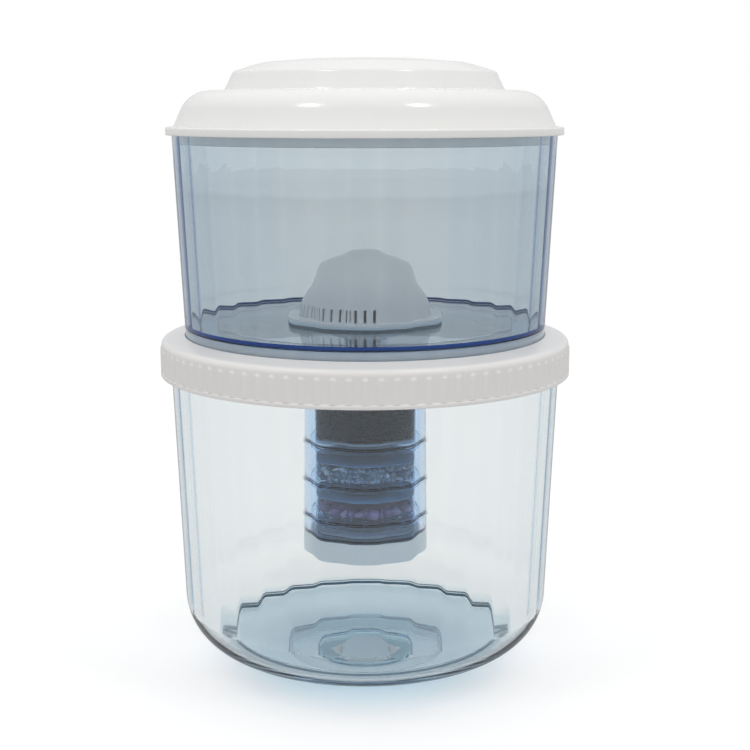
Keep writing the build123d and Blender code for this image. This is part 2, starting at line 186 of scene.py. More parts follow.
def shown(name, mesh, sharp_above=30):
    """Links a mesh as an object. Edges that turn more than sharp_above degrees are shaded sharp."""
    mesh.shade_smooth()
    mesh.set_sharp_from_angle(angle=radians(sharp_above))
    piece = bpy.data.objects.new(name, mesh)
    bpy.context.scene.collection.objects.link(piece)
    return piece


def turned(name, profile, columns=180, shape=None, sharp_above=30):
    """A closed profile carried round the axis: x = r cos a, y = r sin a, z = height. shape, if given,
    takes radius, height and angle as arrays and returns the radius to use."""
    angle = (np.arange(columns) / columns * 2 * pi)[None, :]
    radius = profile[:, 0][:, None] + np.zeros_like(angle)
    height = profile[:, 1][:, None] + np.zeros_like(angle)
    if shape:
        radius = shape(radius, height, angle)
    points = np.stack([radius * np.cos(angle), radius * np.sin(angle), height], axis=-1)
    piece = shown(name, grid_mesh(name, points), sharp_above)
    print(f"{name}: {len(piece.data.polygons)} faces")
    return piece


def dress(piece, body, slot, material, *replaced):
    """Says what the piece rides on, its material and the nodes that it stands for. slot is not used."""
    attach(piece, body)
    if replaced:
        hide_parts(*replaced)
    piece.data.materials.clear()
    piece.data.materials.append(material)
    return piece


# %% [markdown]
# ## Building materials
#
# Each material is made by a few calls that add a node and fill its inputs. An input takes a number, a
# colour or another node's output, so a material reads like a sentence. Colours are written as the
# eye sees them on a screen, 0 to 255, and turned into the linear values that light needs.

# %% Node helpers
def linear(red, green, blue):
    """Screen colour to linear: v/12.92 below 0.04045, otherwise ((v + 0.055)/1.055)^2.4."""
    v = np.array([red, green, blue]) / 255
    return tuple(np.where(v <= 0.04045, v / 12.92, ((v + 0.055) / 1.055) ** 2.4).tolist()) + (1.0,)


def add(tree, kind, values=None, **settings):
    """Adds a node. settings are its options and values its inputs, each a value or an output."""
    node = tree.nodes.new(kind)
    for key, value in settings.items():
        setattr(node, key, value)
    for key, value in (values or {}).items():
        if isinstance(value, bpy.types.NodeSocket):
            tree.links.new(value, node.inputs[key])
        else:
            node.inputs[key].default_value = value
    return node


def calculate(tree, operation, first, second=0.0, clamp=False):
    node = add(tree, "ShaderNodeMath", {0: first, 1: second}, operation=operation, use_clamp=clamp)
    return node.outputs[0]


def map_range(tree, value, low, high, to_low=0.0, to_high=1.0):
    """Takes low to to_low and high to to_high, with a straight line between and nothing past them."""
    node = add(tree, "ShaderNodeMapRange", {0: value, 1: low, 2: high, 3: to_low, 4: to_high})
    return node.outputs[0]


def noise(tree, place, scale, detail, roughness=0.5):
    """A noise around 0.5 with about scale waves a metre. detail adds finer ones."""
    values = {"Vector": place, "Scale": scale, "Detail": detail, "Roughness": roughness}
    return add(tree, "ShaderNodeTexNoise", values).outputs[0]


def blend_colours(tree, factor, first, second):
    return add(tree, "ShaderNodeMix", {0: factor, 6: first, 7: second}, data_type="RGBA").outputs[2]


def ramp(tree, factor, stops):
    """A colour ramp. stops are (place, colour or grey value)."""
    node = add(tree, "ShaderNodeValToRGB", {0: factor})
    while len(node.color_ramp.elements) < len(stops):
        node.color_ramp.elements.new(0.5)
    for element, (place, colour) in zip(node.color_ramp.elements, stops):
        element.position = place
        element.color = colour if isinstance(colour, tuple) else (colour, colour, colour, 1)
    return node.outputs[0]


def new_group(name, inputs, outputs):
    """An empty shader node group. inputs are (name, default) and outputs names, all values or colours."""
    group = bpy.data.node_groups.new(name, "ShaderNodeTree")
    for label, default in inputs:
        kind = "NodeSocketColor" if isinstance(default, tuple) else "NodeSocketFloat"
        group.interface.new_socket(label, in_out="INPUT", socket_type=kind).default_value = default
    for label, kind in outputs:
        group.interface.new_socket(label, in_out="OUTPUT", socket_type=kind)
    return group, group.nodes.new("NodeGroupInput").outputs, group.nodes.new("NodeGroupOutput").inputs


def place_group(tree, group, values):
    node = add(tree, "ShaderNodeGroup", node_tree=group)
    for key, value in values.items():
        node.inputs[key].default_value = value
    return node.outputs


def new_material(name):
    material = bpy.data.materials.new(name)
    material.use_nodes = True
    material.node_tree.nodes.clear()
    return material, material.node_tree


def object_place(tree):
    return add(tree, "ShaderNodeTexCoord").outputs["Object"]


def surface(tree, shader, volume=None):
    output = add(tree, "ShaderNodeOutputMaterial", {"Surface": shader})
    if volume:
        tree.links.new(volume, output.inputs["Volume"])


# %% [markdown]
# ## What the mould leaves
#
# Injection-moulded plastic is never quite even. The colour drifts a little over a hand's width, the
# gloss varies where hands have been, and a close look shows the fine ripple called orange peel. All
# the opaque plastics share these three, so they are one node group with its strengths as inputs.

# %% Group: moulded plastic
moulded, enter, leave = new_group(
    "moulded plastic",
    [("Colour", linear(240, 240, 238)), ("Drift Colour", linear(228, 228, 225)), ("Drift", 0.4),
     ("Roughness", 0.25), ("Handling", 0.12)],
    [("Colour", "NodeSocketColor"), ("Roughness", "NodeSocketFloat"), ("Height", "NodeSocketFloat")],
)
place = object_place(moulded)
drift = ramp(moulded, noise(moulded, place, 14.0, 3.0), [(0.35, 0.0), (0.7, 1.0)])
handled = noise(moulded, place, 55.0, 6.0, roughness=0.7)
peel = noise(moulded, place, 420.0, 2.0)
drift_share = calculate(moulded, "MULTIPLY", drift, enter["Drift"])
drifted = blend_colours(moulded, drift_share, enter["Colour"], enter["Drift Colour"])
hands = calculate(moulded, "MULTIPLY", calculate(moulded, "SUBTRACT", handled, 0.5), enter["Handling"])
moulded.links.new(drifted, leave["Colour"])
moulded.links.new(calculate(moulded, "ADD", enter["Roughness"], hands, clamp=True), leave["Roughness"])
moulded.links.new(peel, leave["Height"])


def moulded_plastic(name, colour, drift_colour, roughness, drift=0.4, handling=0.12, peel_height=0.02,
                    coat=0.0, specular=0.5, subsurface=0.0, soak=0.004, lets_through=0.0):
    """White or milky plastic. subsurface is the share of light that soaks into it, and soak how far, in
    metres. lets_through is the share that a thin wall's face passes on to what lies behind it."""
    material, tree = new_material(name)
    made = place_group(tree, moulded, {"Colour": colour, "Drift Colour": drift_colour, "Drift": drift,
                                       "Roughness": roughness, "Handling": handling})
    bump = add(tree, "ShaderNodeBump",
               {"Height": made["Height"], "Strength": peel_height, "Distance": 0.001})
    shader = add(tree, "ShaderNodeBsdfPrincipled", {
        "Base Color": made["Colour"], "Roughness": made["Roughness"], "Normal": bump.outputs[0],
        "Coat Weight": coat, "Coat Roughness": 0.06, "Specular IOR Level": specular,
        "Subsurface Weight": subsurface, "Subsurface Scale": soak,
        "Subsurface Radius": (1.0, 0.95, 0.9),
    })
    if not lets_through:
        surface(tree, shader.outputs[0])
        return material
    share = (lets_through, lets_through, lets_through, 1)
    straight = add(tree, "ShaderNodeBsdfTransparent", {"Color": share})
    is_shadow = add(tree, "ShaderNodeLightPath").outputs["Is Shadow Ray"]
    surface(tree, add(tree, "ShaderNodeMixShader", {
        0: is_shadow, 1: shader.outputs[0], 2: straight.outputs[0]}).outputs[0])
    return material


# %% [markdown]
# ## Clear plastic
#
# The tanks are tinted styrene. Light loses a little at each surface and more along its way through
# the wall, which is why a tinted tank is pale face on and dark at its edges. So the shader is a
# refracting one with hardly any colour of its own, and the tint is an absorbing volume inside the
# wall. Light that only has to reach something behind the wall passes straight through as if the wall
# were a filter, which keeps the inside bright without traced caustics.

# %% Group: water film and painted shade below a line
film_and_shade, enter, leave = new_group(
    "water film and painted shade",
    [("Line Height", 0.32), ("Ragged", 0.006), ("Streaks", 0.5), ("Far Side", 1.0)],
    [("Share", "NodeSocketFloat")],
)
place = object_place(film_and_shade)
_, depth, height = add(film_and_shade, "ShaderNodeSeparateXYZ", {0: place}).outputs
waver = calculate(film_and_shade, "SUBTRACT", noise(film_and_shade, place, 38.0, 5.0, roughness=0.65), 0.5)
line = calculate(film_and_shade, "ADD", enter["Line Height"], calculate(film_and_shade, "MULTIPLY", waver, enter["Ragged"]))
below = calculate(film_and_shade, "SUBTRACT", line, height)
# Below the line: the upper tank's water film, and painted shade on the lower tank's floor.
under_line = map_range(film_and_shade, below, 0.0, 0.003)
fading_down = map_range(film_and_shade, below, 0.0, 0.018, 1.0, 0.45)
side = map_range(film_and_shade, depth, -0.03, 0.05, 1.0, enter["Far Side"])
film_and_shade_below_line = calculate(film_and_shade, "MULTIPLY", calculate(film_and_shade, "MULTIPLY", under_line, fading_down), side)
upright = add(film_and_shade, "ShaderNodeMapping", {"Vector": place, "Scale": (1.0, 1.0, 0.12)}).outputs[0]
runs = ramp(film_and_shade, noise(film_and_shade, upright, 60.0, 4.0), [(0.45, 0.0), (0.75, 1.0)])
streak = calculate(film_and_shade, "MULTIPLY", runs, enter["Streaks"])
film_and_shade.links.new(calculate(film_and_shade, "ADD", film_and_shade_below_line, streak, clamp=True), leave["Share"])


# %% Clear plastic
def clear_plastic(name, tint, density, line_height=0.0, clean=(1, 1, 1, 1), film_and_shade_colour=(1, 1, 1, 1),
                  streaks=0.25, far_side=1.0, ior=1.45, shadow=(0.98, 0.985, 0.99, 1)):
    """Refracting plastic with an absorbing inside. tint is what a wall lets through, density how
    strongly, per metre. clean is the plain surface, and below line_height its colour gives way to a
    second one, of which the back keeps far_side. In the upper tank that is a film that standing water has
    left, wiped more often at the back than the front; on the lower tank's floor it is painted shade, for
    the dark table under the tank."""
    material, tree = new_material(name)
    left = place_group(tree, film_and_shade, {"Line Height": line_height, "Ragged": 0.007, "Streaks": streaks,
                                     "Far Side": far_side})
    flow = noise(tree, object_place(tree), 26.0, 2.0)
    ripple = add(tree, "ShaderNodeBump", {"Height": flow, "Strength": 0.01, "Distance": 0.004}).outputs[0]
    shader = add(tree, "ShaderNodeBsdfPrincipled", {
        "Base Color": blend_colours(tree, left["Share"], clean, film_and_shade_colour),
        "Roughness": 0.015, "IOR": ior, "Transmission Weight": 1.0, "Normal": ripple,
    })
    straight = add(tree, "ShaderNodeBsdfTransparent", {"Color": shadow})
    light = add(tree, "ShaderNodeLightPath")
    mixed = add(tree, "ShaderNodeMixShader",
                {0: light.outputs["Is Shadow Ray"], 1: shader.outputs[0], 2: straight.outputs[0]})
    inside = add(tree, "ShaderNodeVolumeAbsorption", {"Color": tint, "Density": density})
    surface(tree, mixed.outputs[0], inside.outputs[0])
    return material


# %% The record's finishes
finishes = {
    "lid_white": moulded_plastic(
        "glossy white", linear(247, 246, 244), linear(241, 241, 238), 0.16, coat=0.3, subsurface=0.4,
        lets_through=0.85),
    "collar_white": moulded_plastic(
        "warm white", linear(243, 241, 239), linear(235, 233, 230), 0.3, subsurface=0.15),
    "tank_blue": clear_plastic(
        "blue clear", (0.14, 0.425, 0.683, 1), 120.0, line_height=0.325, clean=(0.965, 0.94, 0.895, 1),
        film_and_shade_colour=(0.88, 0.857, 0.817, 1), far_side=0.3),
    # Below 22.5 mm the lower tank turns darker and bluer: painted shade on its floor for the dark table
    # under it, with faint streaks.
    "tank_aqua": clear_plastic(
        "aqua clear", (0.20, 0.50, 0.70, 1), 32.0, line_height=0.0225, clean=(1.0, 0.995, 0.98, 1),
        film_and_shade_colour=(0.53, 0.68, 0.75, 1), streaks=0.02),
    "cover_white": moulded_plastic(
        "milky white", linear(246, 247, 248), linear(236, 239, 243), 0.35, subsurface=0.5, soak=0.006),
    "base_blue": moulded_plastic(
        "milky blue", linear(218, 234, 246), linear(204, 224, 240), 0.3, subsurface=0.5, soak=0.006),
    "ceramic": moulded_plastic(
        "fired ceramic", linear(232, 228, 220), linear(214, 209, 200), 0.8, peel_height=0.3),
    "nut_white": moulded_plastic("nut white", linear(228, 228, 226), linear(215, 215, 213), 0.35),
    "plug_white": moulded_plastic("plug blue-grey", linear(172, 200, 216), linear(160, 190, 208), 0.3),
    "silicone": moulded_plastic(
        "silicone", linear(214, 218, 222), linear(200, 205, 210), 0.45, subsurface=0.3),
    "felt": moulded_plastic(
        "felt", linear(226, 226, 222), linear(206, 205, 200), 0.95, drift=0.8, peel_height=0.8,
        specular=0.1),
    "cup_clear": clear_plastic(
        "cup clear", (0.14, 0.48, 0.80, 1), 65.0, clean=(0.90, 0.955, 1.0, 1), ior=1.25,
        shadow=(0.975, 0.985, 1.0, 1)),
    "carbon": moulded_plastic("carbon", linear(20, 22, 26), linear(10, 12, 15), 0.6, peel_height=0.5),
    "crystal": moulded_plastic("crystal", linear(186, 200, 212), linear(120, 134, 148), 0.12, coat=0.5),
    "stone_pink": moulded_plastic("pink stone", linear(158, 120, 146), linear(110, 84, 108), 0.35),
    "outlet_white": moulded_plastic(
        "outlet white", linear(204, 218, 228), linear(194, 208, 218), 0.3, subsurface=0.3),
}
slot_of = {part["node"]: part["material_slot"] for part in frame["record"]["subparts"]}
for name, node in nodes.items():
    node.data.materials.clear()
    node.data.materials.append(finishes[slot_of[name]])

# %% [markdown]
# ## Flats inside a round wall
#
# Both tanks are round outside, but inside they have forty flat panels, one of them square to the
# front. Each panel with the round wall before it is a weak lens, and that is why everything seen
# through the tank is cut into upright strips that don't quite meet. At an angle a from a panel's
# middle, a flat at distance d from the axis lies at radius d / cos a.

# %% Panels
PANELS = 40
PANEL_TURN = 2 * pi / PANELS
FRONT = -pi / 2
COLUMNS_IN_PANEL = 9


def from_middle(angle, turn=PANEL_TURN, front=FRONT):
    """Angle from the middle of the nearest panel, or of another pattern that repeats every turn."""
    return (angle - front + turn / 2) % turn - turn / 2


def slope(degrees, run):
    return run * tan(radians(degrees))


# %% [markdown]
# ## Lower tank
#
# A clear shell with walls of about 3 mm, a rounded heel, and a shallow funnel for a floor that ends in
# a round well with the outlet. The outside is a plain turned profile. The inside is the lesser of two
# radii, that of the panels and that of a rounded heel, so that the panels run out in arches where the
# heel begins. A low bead runs round the floor where the heel begins, and lugs for the collar stand out
# below the rim.

# %% Lower tank
LOWER_TAPER = 2.3
FLOOR_SLOPE = 11.3
lower_wall = 2.9
lower_floor = 3.8
lower_edge = bottom_of("collar") / mm
lower_rim = top_of("lower_tank") / mm
lug_reach = 2.3
lug_radius = radius_of("lower_tank") / mm
rim_radius = lug_radius - lug_reach
edge_radius = rim_radius - slope(LOWER_TAPER, lower_rim - lower_edge)
heel = 38.0
well, well_low, well_high, well_wall = 31.0, 3.5, 8.5, 2.5
outlet, outlet_low, outlet_high = 16.0, 1.0, 2.2
foot_out, foot_in = 54.0, 50.0
bead, bead_in, bead_out, bead_lean = 3.8, 91.4, 94.0, 0.4
lug_low, lug_high, stop_low = lower_rim - 9.0, lower_rim - 5.0, lower_rim - 13.3
LUGS, LUG_HALF, STOP_WIDTH = 6, 12, 3


def funnel(radius, drop=0.0):
    """Height of the funnel floor at a radius."""
    return well_high + slope(FLOOR_SLOPE, radius - well) - drop


def wall_foot(radius_at_edge, drop):
    """Where a wall that passes the collar's edge at that radius meets the floor, lowered by drop."""
    rise, run = tan(radians(FLOOR_SLOPE)), tan(radians(LOWER_TAPER))
    on_axis = funnel(0, drop)
    radius = (radius_at_edge + run * (on_axis - lower_edge)) / (1 - rise * run)
    return radius, on_axis + rise * radius


def lower_outside(z):
    return edge_radius + slope(LOWER_TAPER, z - lower_edge)


panel_corner = (edge_radius - lower_wall) / cos(PANEL_TURN / 2) + 0.5
outer_profile = rounded([
    (outlet, outlet_high, 0), (outlet, outlet_low, 0.4), (well + well_wall, outlet_low, 1.2),
    (well + well_wall, funnel(well + well_wall, lower_floor), 1.0),
    (foot_in, funnel(foot_in, lower_floor), 0.8), (foot_in, 0.0, 0.8), (foot_out, 0.0, 0.8),
    (foot_out, funnel(foot_out, lower_floor), 1.0), (*wall_foot(edge_radius, lower_floor), heel),
    *[(lower_outside(z), z, 0) for z in (stop_low, stop_low, lug_low, lug_low, lug_high, lug_high)],
    (rim_radius, lower_rim - 1, 0),
], closed=False, step=radians(2.5), small_step=radians(18))
inner_rim = panel_corner + slope(LOWER_TAPER, lower_rim - lower_edge)
inner_profile = rounded([
    (rim_radius, lower_rim - 1, 0), (rim_radius, lower_rim, 0.7), (inner_rim - 0.5, lower_rim, 0.7),
    (inner_rim - 0.5, lower_rim - 1.5, 0), (inner_rim - slope(LOWER_TAPER, 1.6), lower_rim - 1.6, 0),
    (*wall_foot(panel_corner, 0), heel - lower_wall), (bead_out, funnel(bead_out), 0),
    (bead_out - bead_lean, funnel(bead_out - bead_lean) + bead, 0.6),
    (bead_in + bead_lean, funnel(bead_in + bead_lean) + bead, 0.6), (bead_in, funnel(bead_in), 0.3),
    (well, well_high, 0.8), (well, well_low, 0.8), (outlet, well_low, 0.4), (outlet, outlet_high, 0),
], closed=False, step=radians(1.6), small_step=radians(18))
lower_profile = np.concatenate([outer_profile[:-1], inner_profile[:-1]])
OUTSIDE_ROWS = len(outer_profile) - 1
print("rows:", len(lower_profile), "outside:", OUTSIDE_ROWS)


def between(row, low, high):
    """Marks the outside rows from height low to high. The profile holds each of these heights twice."""
    at_low = np.flatnonzero(np.isclose(outer_profile[:, 1], low * mm))[1]
    at_high = np.flatnonzero(np.isclose(outer_profile[:, 1], high * mm))[0]
    return (row >= at_low) & (row <= at_high)


def lower_shape(radius, height, angle):
    """Outside, the turned profile with lugs: between two heights the radius grows to the lugs' own
    within 12 degrees of each lug's middle, and a stop beside it reaches lower. Inside, the lesser of
    the profile and the panels."""
    row = np.arange(len(radius))[:, None]
    off = np.degrees(from_middle(angle, 2 * pi / LUGS, 0.0))
    lug = between(row, lug_low, lug_high) * np.clip(LUG_HALF + 1 - np.abs(off), 0, 1)
    beside = np.abs(off + LUG_HALF + 2)
    stop = between(row, stop_low, lug_high) * np.clip(STOP_WIDTH / 2 + 0.5 - beside, 0, 1)
    radius = radius + (lug_radius * mm - radius) * np.maximum(lug, stop)
    panels = (edge_radius - lower_wall) * mm + (height - lower_edge * mm) * tan(radians(LOWER_TAPER))
    flat = np.minimum(radius, panels / np.cos(from_middle(angle)))
    return np.where((row >= OUTSIDE_ROWS) & (height < (lower_rim - 1.55) * mm), flat, radius)


lower_tank = turned("lower_tank_shell", lower_profile, PANELS * COLUMNS_IN_PANEL, lower_shape, 5)
dress(lower_tank, "lower_tank", "tank_aqua", finishes["tank_aqua"], "lower_tank")

# %% [markdown]
# ## Upper tank
#
# The same wall, a little narrower and deeper in colour. Its floor is flat. Below the floor, a foot ring
# stands on the collar and a second ring drops into the collar's opening.

# %% Upper tank
UPPER_TAPER = 2.64
upper_wall, upper_floor, upper_lift = 2.8, 3.0, 5.2
seat = bottom_of("upper_tank") / mm + 4.5
upper_rim = top_of("upper_tank") / mm
upper_rim_radius = radius_of("upper_tank") / mm
upper_foot = upper_rim_radius - slope(UPPER_TAPER, upper_rim - seat)
foot_wall, spigot, spigot_wall, spigot_depth = 3.6, 98.695, 2.3, 9.7
stem_hole = 12.3
floor_low = seat + upper_lift
floor_high = floor_low + upper_floor


def upper_inside(z):
    return upper_foot - upper_wall + slope(UPPER_TAPER, z - seat)


upper_profile = rounded([
    (stem_hole, floor_low, 0.3), (spigot - spigot_wall, floor_low, 0.6),
    (spigot - spigot_wall, floor_low - spigot_depth, 0.5), (spigot, floor_low - spigot_depth, 0.5),
    (spigot, floor_low, 0.6),
    (upper_foot - foot_wall, floor_low, 0.8), (upper_foot - foot_wall, seat, 0.6), (upper_foot, seat, 0.6),
    (upper_rim_radius, upper_rim, 0.7), (upper_inside(upper_rim), upper_rim, 0.7),
    (upper_inside(floor_high), floor_high, 0.8), (stem_hole, floor_high, 0.3),
], step=radians(10))


def upper_shape(radius, height, angle):
    """The inner wall's rows lie on the panels, and so does the small radius at the floor's edge."""
    wall = (upper_foot - upper_wall) * mm + (height - seat * mm) * tan(radians(UPPER_TAPER))
    inside = (np.abs(radius - wall) < 1.2 * mm) & (height > (floor_low + 1) * mm)
    return np.where(inside, radius / np.cos(from_middle(angle)), radius)


upper_tank = turned("upper_tank_shell", upper_profile, PANELS * COLUMNS_IN_PANEL, upper_shape, 5)
dress(upper_tank, "upper_tank", "tank_blue", finishes["tank_blue"], "upper_tank")

# %% [markdown]
# ## Edge light
#
# Light that enters a clear sheet is caught between its faces and leaves where the sheet ends or meets
# another one. It has gone a long way through the tint by then, so a tinted tank is drawn in deep blue
# lines along its floor's edge and its foot. A path tracer finds few of those long paths. So a slim ring
# inside the plastic, along each such edge, paints that light as a line that shows from every side: deep
# blue in the upper tank, teal in the paler lower one, and in the foot a pale band of painted light for
# what comes through it. Its section is an ellipse: radius + half width * cos t, height + half
# thickness * sin t.

# %% Edge lines
edge_blue = moulded_plastic("edge light", linear(32, 80, 164), linear(48, 98, 180), 0.5, specular=0.1)


def edge_line(name, body, slot, radius, height, width, thickness, material=edge_blue):
    """A ring of elliptical section whose sides lie behind the panels, at radius / cos a."""
    t = np.arange(12) / 12 * 2 * pi
    profile = np.stack([radius + width / 2 * np.cos(t), height + thickness / 2 * np.sin(t)], axis=1) * mm
    ring = turned(name, profile, PANELS * COLUMNS_IN_PANEL, lambda r, z, a: r / np.cos(from_middle(a)))
    return dress(ring, body, slot, material)


edge_teal = moulded_plastic("teal edge light", linear(70, 128, 158), linear(84, 142, 170), 0.5, specular=0.1)
# A pale ring of painted light in the upper tank's foot, for the light that passes through it.
foot_light_band = moulded_plastic("painted light in foot", linear(220, 229, 237), linear(204, 216, 226), 0.6,
                             subsurface=0.3)
edge_line("upper_floor_line", "upper_tank", "tank_blue", 117.2, floor_high + 0.5, 1.0, 2.2)
edge_line("upper_foot_band", "upper_tank", "tank_blue", upper_foot - 1.5, seat + 3.7, 1.2, 5.8, foot_light_band)
edge_line("lower_floor_line", "lower_tank", "tank_aqua", 92.7, 22.4, 0.6, 2.0, edge_teal)

# %% [markdown]
# ## Lid
#
# One glossy white moulding in two tiers, like a shallow hat. The outline is a line of seven corners,
# some with generous radii, and the inner skin follows it at one wall's distance, found by moving each
# point along the outline's normal.

# %% Lid
lid_radius = radius_of("lid") / mm
lid_top = top_of("lid") / mm
lid_rest = upper_rim
flange, lid_wall, lid_lip = 2.5, 2.2, 5.0
plug_depth, plug_wall, plug_gap, skirt_depth, skirt_gap = 8.0, 2.0, 0.4, 2.5, 0.6
flange_top = lid_rest + flange
lower_tier_lean, lower_tier_height = 10.3, 22.3
upper_tier_radius, upper_tier_lean, upper_tier_height = 90.0, 5.6, 11.6
crown_radius, crown_flat, crown_rise, shoulder_rise = 66.0, 35.0, 2.4, 5.6
tier_top = lid_top - crown_rise - shoulder_rise
lid_outline = rounded([
    (lid_radius - lid_lip, flange_top, 0),
    (lid_radius - lid_lip - lower_tier_lean, flange_top + lower_tier_height, 20.0),
    (upper_tier_radius, tier_top - upper_tier_height, 1.5),
    (upper_tier_radius - upper_tier_lean, tier_top, 4.0),
    (crown_radius, lid_top - crown_rise, 40.0), (crown_flat, lid_top, 200.0), (0.0, lid_top, 0),
], closed=False, step=radians(2))
along = np.gradient(lid_outline, axis=0)
normal = np.stack([along[:, 1], -along[:, 0]], axis=1) / np.linalg.norm(along, axis=1)[:, None]
lid_inside = lid_outline - normal * lid_wall * mm
lid_inside[:, 0] = np.maximum(lid_inside[:, 0], 0)
lid_inside[-1, 0] = 0
plug_out = upper_inside(upper_rim) - plug_gap - slope(UPPER_TAPER, plug_depth)
plug_in = plug_out - plug_wall
skirt_in = upper_rim_radius + skirt_gap
lid_edge = rounded([
    (plug_in, flange_top, 0), (plug_in, lid_rest - plug_depth, 0.6), (plug_out, lid_rest - plug_depth, 0.6),
    (plug_out, lid_rest, 0.4), (skirt_in, lid_rest, 0.3), (skirt_in, lid_rest - skirt_depth, 0.3),
    (lid_radius, lid_rest - skirt_depth, 0.5), (lid_radius, flange_top, 0.9),
    (lid_radius - lid_lip, flange_top, 0),
], closed=False, step=radians(15))
inner_start = np.argmax(lid_inside[:, 1] > flange_top * mm)
lid_profile = np.concatenate([lid_edge[:-1], lid_outline, lid_inside[inner_start:][::-1]])
lid = turned("lid_shell", lid_profile, 240, sharp_above=40)
dress(lid, "lid", "lid_white", finishes["lid_white"], "lid")

# %% [markdown]
# ## Collar
#
# The ring that turns down on the lower tank and carries the upper one. Its side is ribbed for grip.
# A rib is the face of a round bar set deep in the side: at a distance s from its middle it reaches
# sqrt(r^2 - s^2), with r the bar's radius, and only the outer 0.8 mm shows. Near its upper end the
# distance upwards counts as well, so that the bar ends in a ball, and those noses are the row of small
# bright dots under the deck.

# %% Collar
RIBS, COLUMNS_IN_RIB = 90, 12
bar, rib_depth = 3.0, 0.8
rib_half = sqrt(bar**2 - (bar - rib_depth) ** 2)
collar_radius = radius_of("collar") / mm
rib_root = collar_radius - rib_depth
deck = top_of("collar") / mm
edge_low = bottom_of("collar") / mm
lip_top = edge_low + 2.5
side_top = deck - 2.9
rib_top = side_top - 4.3
collar_in = rib_root - 2.4
seat_radius = upper_foot + 0.3
opening = spigot + 0.3
deck_low = seat - 3.0
land = rim_radius - 5.8
nose_rows = [(rib_root, rib_top - rib_half * cos(t), 0) for t in np.radians(np.arange(0, 91, 11.25))]
collar_profile = rounded([
    (collar_in, edge_low, 0.4), (collar_radius, edge_low, 0.5), (collar_radius, lip_top, 0.5),
    (rib_root, lip_top, 0.3), *nose_rows, (rib_root, side_top, 4.0), (seat_radius, deck, 0.5),
    (seat_radius, seat, 0.2), (opening, seat, 0.5), (opening, deck_low, 0.5), (land, deck_low, 0.2),
    (land, deck_low - 2.0, 0.2), (collar_in, deck_low - 2.0, 0.4),
], step=radians(12), small_step=radians(30))


def ribbed(radius, height, angle):
    """Adds the ribs to the rows between the lip and the ribs' tops."""
    across = from_middle(angle, 2 * pi / RIBS) * collar_radius * mm
    above = np.clip(height - (rib_top - rib_half) * mm, 0, None)
    face = np.sqrt(np.clip((bar * mm) ** 2 - across**2 - above**2, 0, None))
    stand = np.clip(face - (bar - rib_depth) * mm, 0, None)
    on_side = (np.abs(radius - rib_root * mm) < 0.01 * mm) & (height < (rib_top + 0.01) * mm)
    return np.where(on_side & (height > (lip_top - 0.01) * mm), radius + stand, radius)


collar = turned("collar_ring", collar_profile, RIBS * COLUMNS_IN_RIB, ribbed, 40)
dress(collar, "collar", "collar_white", finishes["collar_white"], "collar")

# %% [markdown]
# ## Loose grains
#
# The three fillings are loose: broken charcoal, clear crystal chips and tumbled stones. Each grain is
# a small closed body with a few dozen faces, turned and stretched at random. Only the grains against
# the cup and on the top of the heap can be seen, so they are set in rings a grain apart, two shells
# deep, over a plain core. A physics simulation could drop thousands of grains into the cup, but rings
# with a little disorder look the same from outside and give the same result each time.

# %% Grain placing
SHELLS = 2


def grain_places(random, radius, low, high, size):
    """Centres of grains in rings: SHELLS deep along the wall, and over the whole top."""
    places = []
    levels = max(1, int((high - low) / (size * 0.8)))
    for shell in range(max(SHELLS, int(radius / size))):
        ring_radius = radius - size * (0.5 + 0.85 * shell)
        if ring_radius < 0:
            break
        count = max(1, int(2 * pi * ring_radius / (size * 0.95)))
        for level in range(levels):
            if shell >= SHELLS and level < levels - 1:
                continue
            angle = (np.arange(count) + random.random()) / count * 2 * pi
            height = low + size * 0.5 + (high - low - size) * level / max(1, levels - 1)
            places.append(np.stack([ring_radius * np.cos(angle), ring_radius * np.sin(angle),
                                    np.full(count, height)], axis=1))
    return np.concatenate(places)


def turns_at_random(random, count):
    """Rotation matrices from random unit quaternions (w, x, y, z)."""
    quaternions = random.normal(size=(4, count))
    w, x, y, z = quaternions / np.linalg.norm(quaternions, axis=0)
    rows = [[1 - 2 * (y * y + z * z), 2 * (x * y - z * w), 2 * (x * z + y * w)],
            [2 * (x * y + z * w), 1 - 2 * (x * x + z * z), 2 * (y * z - x * w)],
            [2 * (x * z - y * w), 2 * (y * z + x * w), 1 - 2 * (x * x + y * y)]]
    return np.array(rows).transpose(2, 0, 1)


